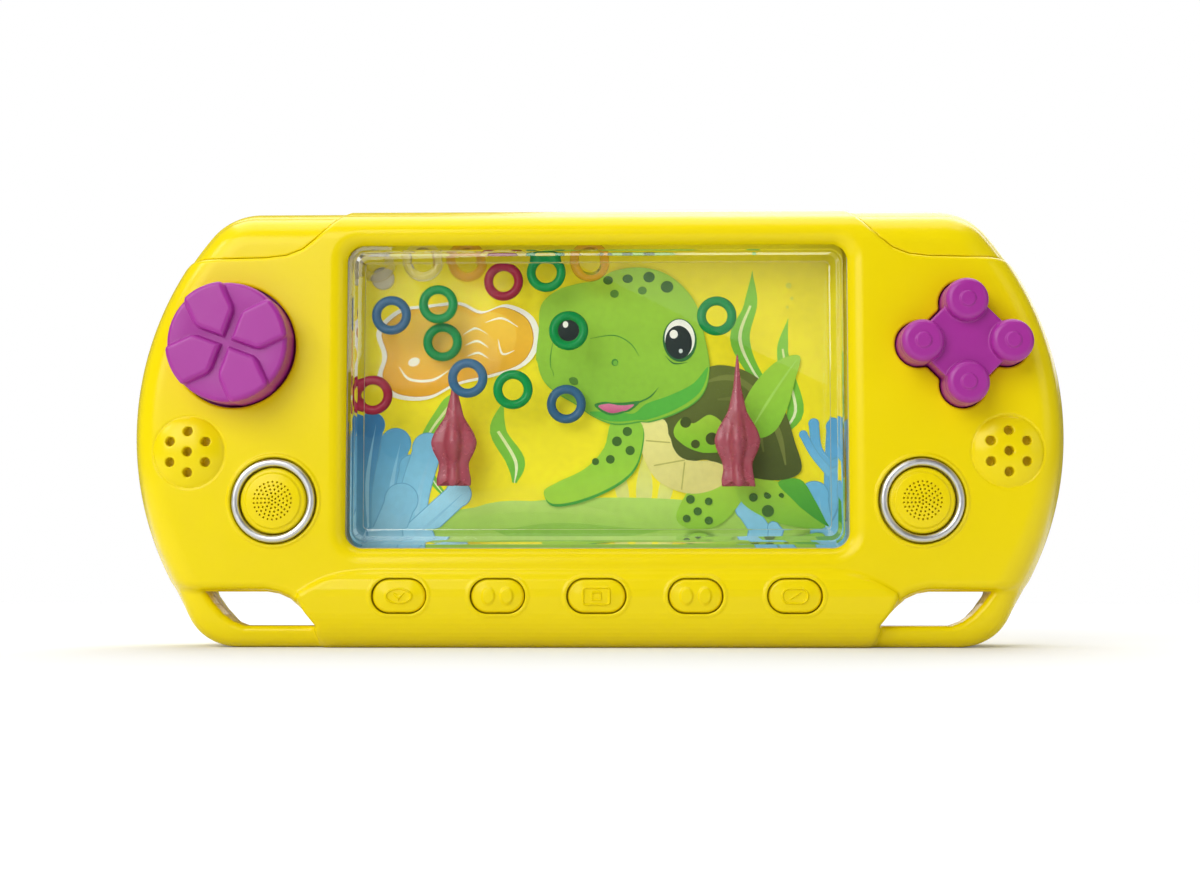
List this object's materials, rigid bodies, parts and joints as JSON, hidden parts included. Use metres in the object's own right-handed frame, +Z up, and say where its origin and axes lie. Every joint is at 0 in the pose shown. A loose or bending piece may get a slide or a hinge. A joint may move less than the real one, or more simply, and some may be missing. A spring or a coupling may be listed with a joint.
{
  "type": "handheld water ring-toss toy",
  "caption": "Handheld water ring-toss toy in a console-shaped casing: pump buttons jet water that lifts small rings onto pegs behind a clear window.",
  "frame": {"origin": "centre of the bounding box at its base, on the flat of the long bottom edge", "axes": "+X towards the player's right along the toy's length, +Y from the front face into the toy and out of its back, +Z up"},
  "size_m": [0.168, 0.03, 0.079],
  "materials": {
    "casing": "glossy moulded ABS",
    "button": "satin moulded polyethylene",
    "bulb": "soft rubber",
    "tank": "clear moulded polystyrene",
    "seal": "soft PVC",
    "card": "printed card",
    "peg": "tinted translucent polystyrene",
    "plated": "satin vacuum-plated plastic",
    "steel": "zinc-plated steel",
    "mat": "soft silicone",
    "ring_green": "glossy moulded plastic",
    "ring_blue": "glossy moulded plastic",
    "ring_red": "glossy moulded plastic",
    "ring_amber": "translucent moulded plastic",
    "ring_clear": "translucent moulded plastic"
  },
  "bodies": {
    "casing": {"front_shell": "casing", "back_shell": "casing", "shoulder_cap_left": "casing", "shoulder_cap_right": "casing", "pump_bulb_left": "bulb", "pump_bulb_right": "bulb", "pump_base_left": "tank", "pump_base_right": "tank", "jet_hose_left": "tank", "jet_hose_right": "tank", "thumb_ring_left": "plated", "thumb_ring_right": "plated", "thumb_spring_left": "steel", "thumb_spring_right": "steel", "tank_cover": "tank", "tank_gasket": "seal", "tank_body": "tank", "backdrop_card": "card", "peg_left": "peg", "peg_right": "peg", "key_mat": "mat", "key_backplate": "casing", "screw_1": "steel", "screw_2": "steel", "screw_3": "steel", "screw_4": "steel", "screw_5": "steel", "screw_6": "steel"},
    "left_button": {"left_button": "button"},
    "right_button": {"right_button": "button"},
    "thumb_cap_left": {"thumb_cap_left": "casing"},
    "thumb_cap_right": {"thumb_cap_right": "casing"},
    "filler_plug": {"filler_plug": "seal"},
    "key_1": {"key_1": "casing"},
    "key_2": {"key_2": "casing"},
    "key_3": {"key_3": "casing"},
    "key_4": {"key_4": "casing"},
    "key_5": {"key_5": "casing"},
    "ring_blue_1": {"ring_blue_1": "ring_blue"},
    "ring_blue_2": {"ring_blue_2": "ring_blue"},
    "ring_blue_3": {"ring_blue_3": "ring_blue"},
    "ring_green_1": {"ring_green_1": "ring_green"},
    "ring_green_2": {"ring_green_2": "ring_green"},
    "ring_green_3": {"ring_green_3": "ring_green"},
    "ring_green_4": {"ring_green_4": "ring_green"},
    "ring_green_5": {"ring_green_5": "ring_green"},
    "ring_green_6": {"ring_green_6": "ring_green"},
    "ring_red_1": {"ring_red_1": "ring_red"},
    "ring_red_2": {"ring_red_2": "ring_red"},
    "ring_amber_1": {"ring_amber_1": "ring_amber"},
    "ring_amber_2": {"ring_amber_2": "ring_amber"},
    "ring_clear_1": {"ring_clear_1": "ring_clear"},
    "ring_clear_2": {"ring_clear_2": "ring_clear"}
  },
  "joints": [
    {"name": "left_button_press", "type": "slide", "parent": "casing", "child": "left_button", "axis": [0, 1, 0], "range_m": [0, 0.0035], "stiffness_N_per_m": 900, "springref_m": -0.001, "deforming": ["pump_bulb_left"]},
    {"name": "right_button_press", "type": "slide", "parent": "casing", "child": "right_button", "axis": [0, 1, 0], "range_m": [0, 0.0035], "stiffness_N_per_m": 900, "springref_m": -0.001, "deforming": ["pump_bulb_right"]},
    {"name": "thumb_cap_left_press", "type": "slide", "parent": "casing", "child": "thumb_cap_left", "axis": [0, 1, 0], "range_m": [0, 0.0009], "stiffness_N_per_m": 500, "springref_m": -0.001, "deforming": ["thumb_spring_left"]},
    {"name": "thumb_cap_right_press", "type": "slide", "parent": "casing", "child": "thumb_cap_right", "axis": [0, 1, 0], "range_m": [0, 0.0009], "stiffness_N_per_m": 500, "springref_m": -0.001, "deforming": ["thumb_spring_right"]},
    {"name": "key_1_press", "type": "slide", "parent": "casing", "child": "key_1", "axis": [0, 1, 0], "range_m": [0, 0.0007], "stiffness_N_per_m": 600, "springref_m": -0.001, "deforming": ["key_mat"]},
    {"name": "key_2_press", "type": "slide", "parent": "casing", "child": "key_2", "axis": [0, 1, 0], "range_m": [0, 0.0007], "stiffness_N_per_m": 600, "springref_m": -0.001, "deforming": ["key_mat"]},
    {"name": "key_3_press", "type": "slide", "parent": "casing", "child": "key_3", "axis": [0, 1, 0], "range_m": [0, 0.0007], "stiffness_N_per_m": 600, "springref_m": -0.001, "deforming": ["key_mat"]},
    {"name": "key_4_press", "type": "slide", "parent": "casing", "child": "key_4", "axis": [0, 1, 0], "range_m": [0, 0.0007], "stiffness_N_per_m": 600, "springref_m": -0.001, "deforming": ["key_mat"]},
    {"name": "key_5_press", "type": "slide", "parent": "casing", "child": "key_5", "axis": [0, 1, 0], "range_m": [0, 0.0007], "stiffness_N_per_m": 600, "springref_m": -0.001, "deforming": ["key_mat"]},
    {"name": "filler_plug_pull", "type": "slide", "parent": "casing", "child": "filler_plug", "axis": [0, 1, 0], "range_m": [0, 0.014]},
    {"name": "ring_blue_1_drift", "type": "slide", "parent": "casing", "child": "ring_blue_1", "axis": [0, 0, 1], "range_m": [-0.038, 0.01]},
    {"name": "ring_blue_2_drift", "type": "slide", "parent": "casing", "child": "ring_blue_2", "axis": [0, 0, 1], "range_m": [-0.0012, 0.021]},
    {"name": "ring_blue_3_drift", "type": "slide", "parent": "casing", "child": "ring_blue_3", "axis": [0, 0, 1], "range_m": [-0.021, 0.026]},
    {"name": "ring_green_1_drift", "type": "slide", "parent": "casing", "child": "ring_green_1", "axis": [0, 0, 1], "range_m": [-0.008, 0.008]},
    {"name": "ring_green_2_drift", "type": "slide", "parent": "casing", "child": "ring_green_2", "axis": [0, 0, 1], "range_m": [-0.007, 0.003]},
    {"name": "ring_green_3_drift", "type": "slide", "parent": "casing", "child": "ring_green_3", "axis": [0, 0, 1], "range_m": [-0.045, 0.002]},
    {"name": "ring_green_4_drift", "type": "slide", "parent": "casing", "child": "ring_green_4", "axis": [0, 0, 1], "range_m": [-0.034, 0.0125]},
    {"name": "ring_green_5_drift", "type": "slide", "parent": "casing", "child": "ring_green_5", "axis": [0, 0, 1], "range_m": [-0.024, 0.023]},
    {"name": "ring_green_6_drift", "type": "slide", "parent": "casing", "child": "ring_green_6", "axis": [0, 0, 1], "range_m": [-0.011, 0.01]},
    {"name": "ring_red_1_drift", "type": "slide", "parent": "casing", "child": "ring_red_1", "axis": [0, 0, 1], "range_m": [-0.044, 0.0035]},
    {"name": "ring_red_2_drift", "type": "slide", "parent": "casing", "child": "ring_red_2", "axis": [0, 0, 1], "range_m": [-0.023, 0.024]},
    {"name": "ring_amber_1_drift", "type": "slide", "parent": "casing", "child": "ring_amber_1", "axis": [0, 0, 1], "range_m": [-0.006, 0]},
    {"name": "ring_amber_2_drift", "type": "slide", "parent": "casing", "child": "ring_amber_2", "axis": [0, 0, 1], "range_m": [-0.047, 0]},
    {"name": "ring_clear_1_drift", "type": "slide", "parent": "casing", "child": "ring_clear_1", "axis": [0, 0, 1], "range_m": [-0.02, 0]},
    {"name": "ring_clear_2_drift", "type": "slide", "parent": "casing", "child": "ring_clear_2", "axis": [0, 0, 1], "range_m": [-0.047, 0]}
  ]
}
